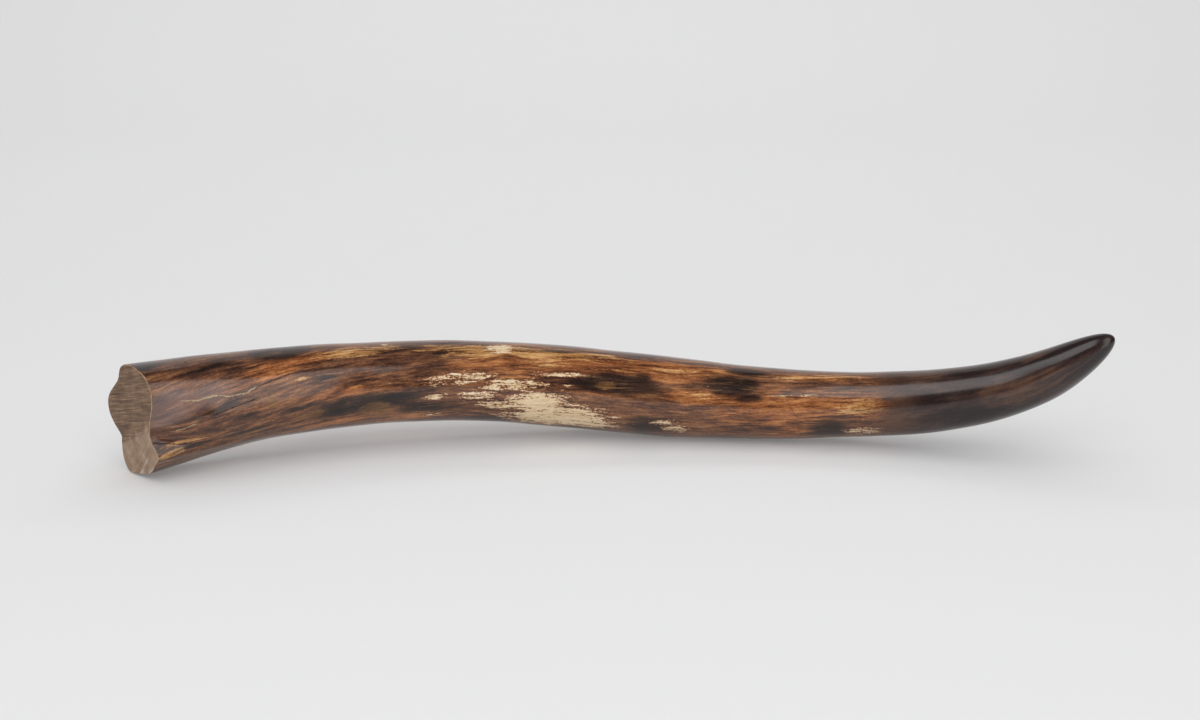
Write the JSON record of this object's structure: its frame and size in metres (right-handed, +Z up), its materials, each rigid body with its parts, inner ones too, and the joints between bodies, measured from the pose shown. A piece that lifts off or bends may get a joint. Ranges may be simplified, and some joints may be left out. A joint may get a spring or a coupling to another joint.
{
  "type": "mammoth tusk",
  "caption": "polished mammoth tusk section, brown with cream patches, gently bowed, sawn flat at the lobed root and tapering up to a blunt dark tip, lying on its side",
  "frame": {"origin": "middle of the underside of the tusk's bounding box, on the surface that it rests on", "axes": "+X runs along the tusk from the sawn root to the tip, +Y points away from the side that faces the viewer, +Z is up"},
  "size_m": [0.9008, 0.1956, 0.1221],
  "materials": {
    "polished_skin": "polished mineral-stained ivory, dark brown to orange-brown with cream patches and a near-black tip; the sawn root is matt tan with fine saw marks"
  },
  "bodies": {
    "root": {"tusk": "polished_skin"}
  },
  "joints": []
}
